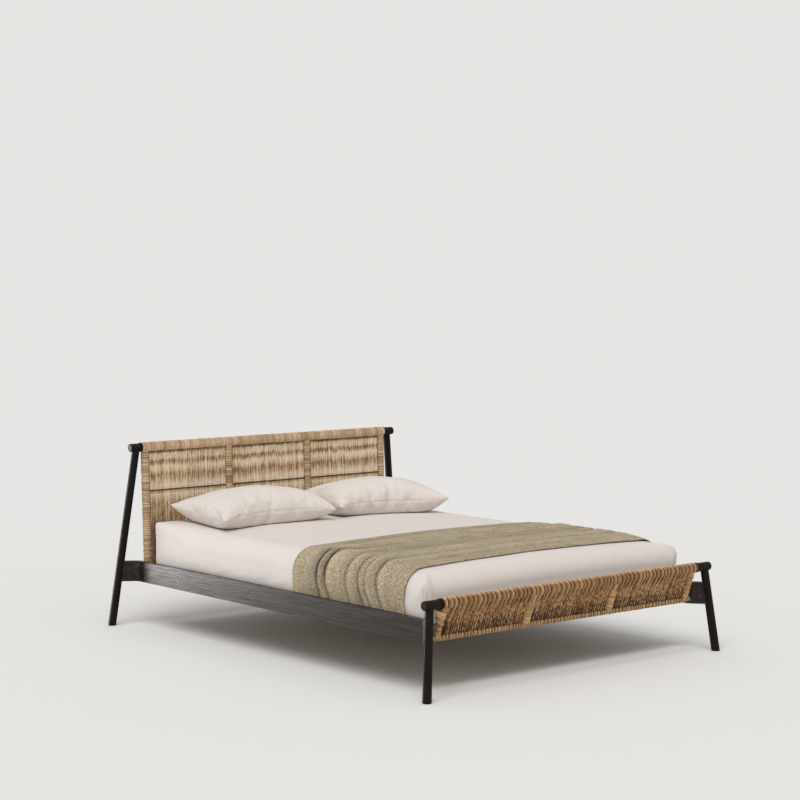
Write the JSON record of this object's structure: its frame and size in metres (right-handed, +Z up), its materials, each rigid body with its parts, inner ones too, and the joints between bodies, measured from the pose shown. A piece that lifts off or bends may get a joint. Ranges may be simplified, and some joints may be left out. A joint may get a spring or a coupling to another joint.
{
  "type": "bed",
  "caption": "Double bed on splayed round black wooden legs, with cord-woven headboard and footboard, slatted base, mattress, pillows and a throw.",
  "frame": {"origin": "on the floor, midway between the feet of the four legs", "axes": "+X across the bed to the right, +Y towards the head, +Z up"},
  "size_m": [1.8546, 2.3818, 0.902],
  "materials": {
    "black_wood": "satin",
    "pine": "matte",
    "natural_cord": "matte",
    "zinc_steel": "satin",
    "felt": "matte",
    "mattress_ticking": "matte",
    "sheet_cotton": "matte",
    "pillow_linen": "matte",
    "throw_wool": "matte"
  },
  "bodies": {
    "frame": {"bracket_screws": "zinc_steel", "centre_beam": "pine", "centre_leg": "black_wood", "corner_brackets": "zinc_steel", "cross_dowels": "zinc_steel", "dowels": "pine", "foot_bar": "black_wood", "foot_cross_rail": "black_wood", "foot_leg_left": "black_wood", "foot_leg_right": "black_wood", "footboard_bar_wrap": "natural_cord", "footboard_frame_wraps": "natural_cord", "footboard_low_bar": "black_wood", "footboard_mullion_left": "black_wood", "footboard_mullion_right": "black_wood", "footboard_stile_left": "black_wood", "footboard_stile_right": "black_wood", "footboard_weave_centre": "natural_cord", "footboard_weave_left": "natural_cord", "footboard_weave_right": "natural_cord", "head_bar": "black_wood", "head_cross_rail": "black_wood", "head_leg_left": "black_wood", "head_leg_right": "black_wood", "headboard_bar_wrap": "natural_cord", "headboard_frame_wraps": "natural_cord", "headboard_low_bar": "black_wood", "headboard_mullion_left": "black_wood", "headboard_mullion_right": "black_wood", "headboard_stile_left": "black_wood", "headboard_stile_right": "black_wood", "headboard_weave_centre": "natural_cord", "headboard_weave_left": "natural_cord", "headboard_weave_right": "natural_cord", "leg_glides": "felt", "rail_bolts": "zinc_steel", "side_rail_left": "black_wood", "side_rail_right": "black_wood", "slat_01": "pine", "slat_02": "pine", "slat_03": "pine", "slat_04": "pine", "slat_05": "pine", "slat_06": "pine", "slat_07": "pine", "slat_08": "pine", "slat_09": "pine", "slat_10": "pine", "slat_11": "pine", "slat_12": "pine", "slat_ledger_left": "pine", "slat_ledger_right": "pine", "wood_screws": "zinc_steel"},
    "mattress": {"mattress": "mattress_ticking", "fitted_sheet": "sheet_cotton"},
    "throw": {"throw": "throw_wool"},
    "pillow_left": {"pillow_left": "pillow_linen"},
    "pillow_right": {"pillow_right": "pillow_linen"}
  },
  "joints": [
    {"name": "mattress_lift", "type": "slide", "parent": "frame", "child": "mattress", "axis": [0, 0, 1], "range_m": [0, 0.65]},
    {"name": "throw_lift", "type": "slide", "parent": "mattress", "child": "throw", "axis": [0, 0, 1], "range_m": [0, 0.35]},
    {"name": "pillow_left_lift", "type": "slide", "parent": "mattress", "child": "pillow_left", "axis": [0, 0, 1], "range_m": [0, 0.35]},
    {"name": "pillow_right_lift", "type": "slide", "parent": "mattress", "child": "pillow_right", "axis": [0, 0, 1], "range_m": [0, 0.35]}
  ]
}
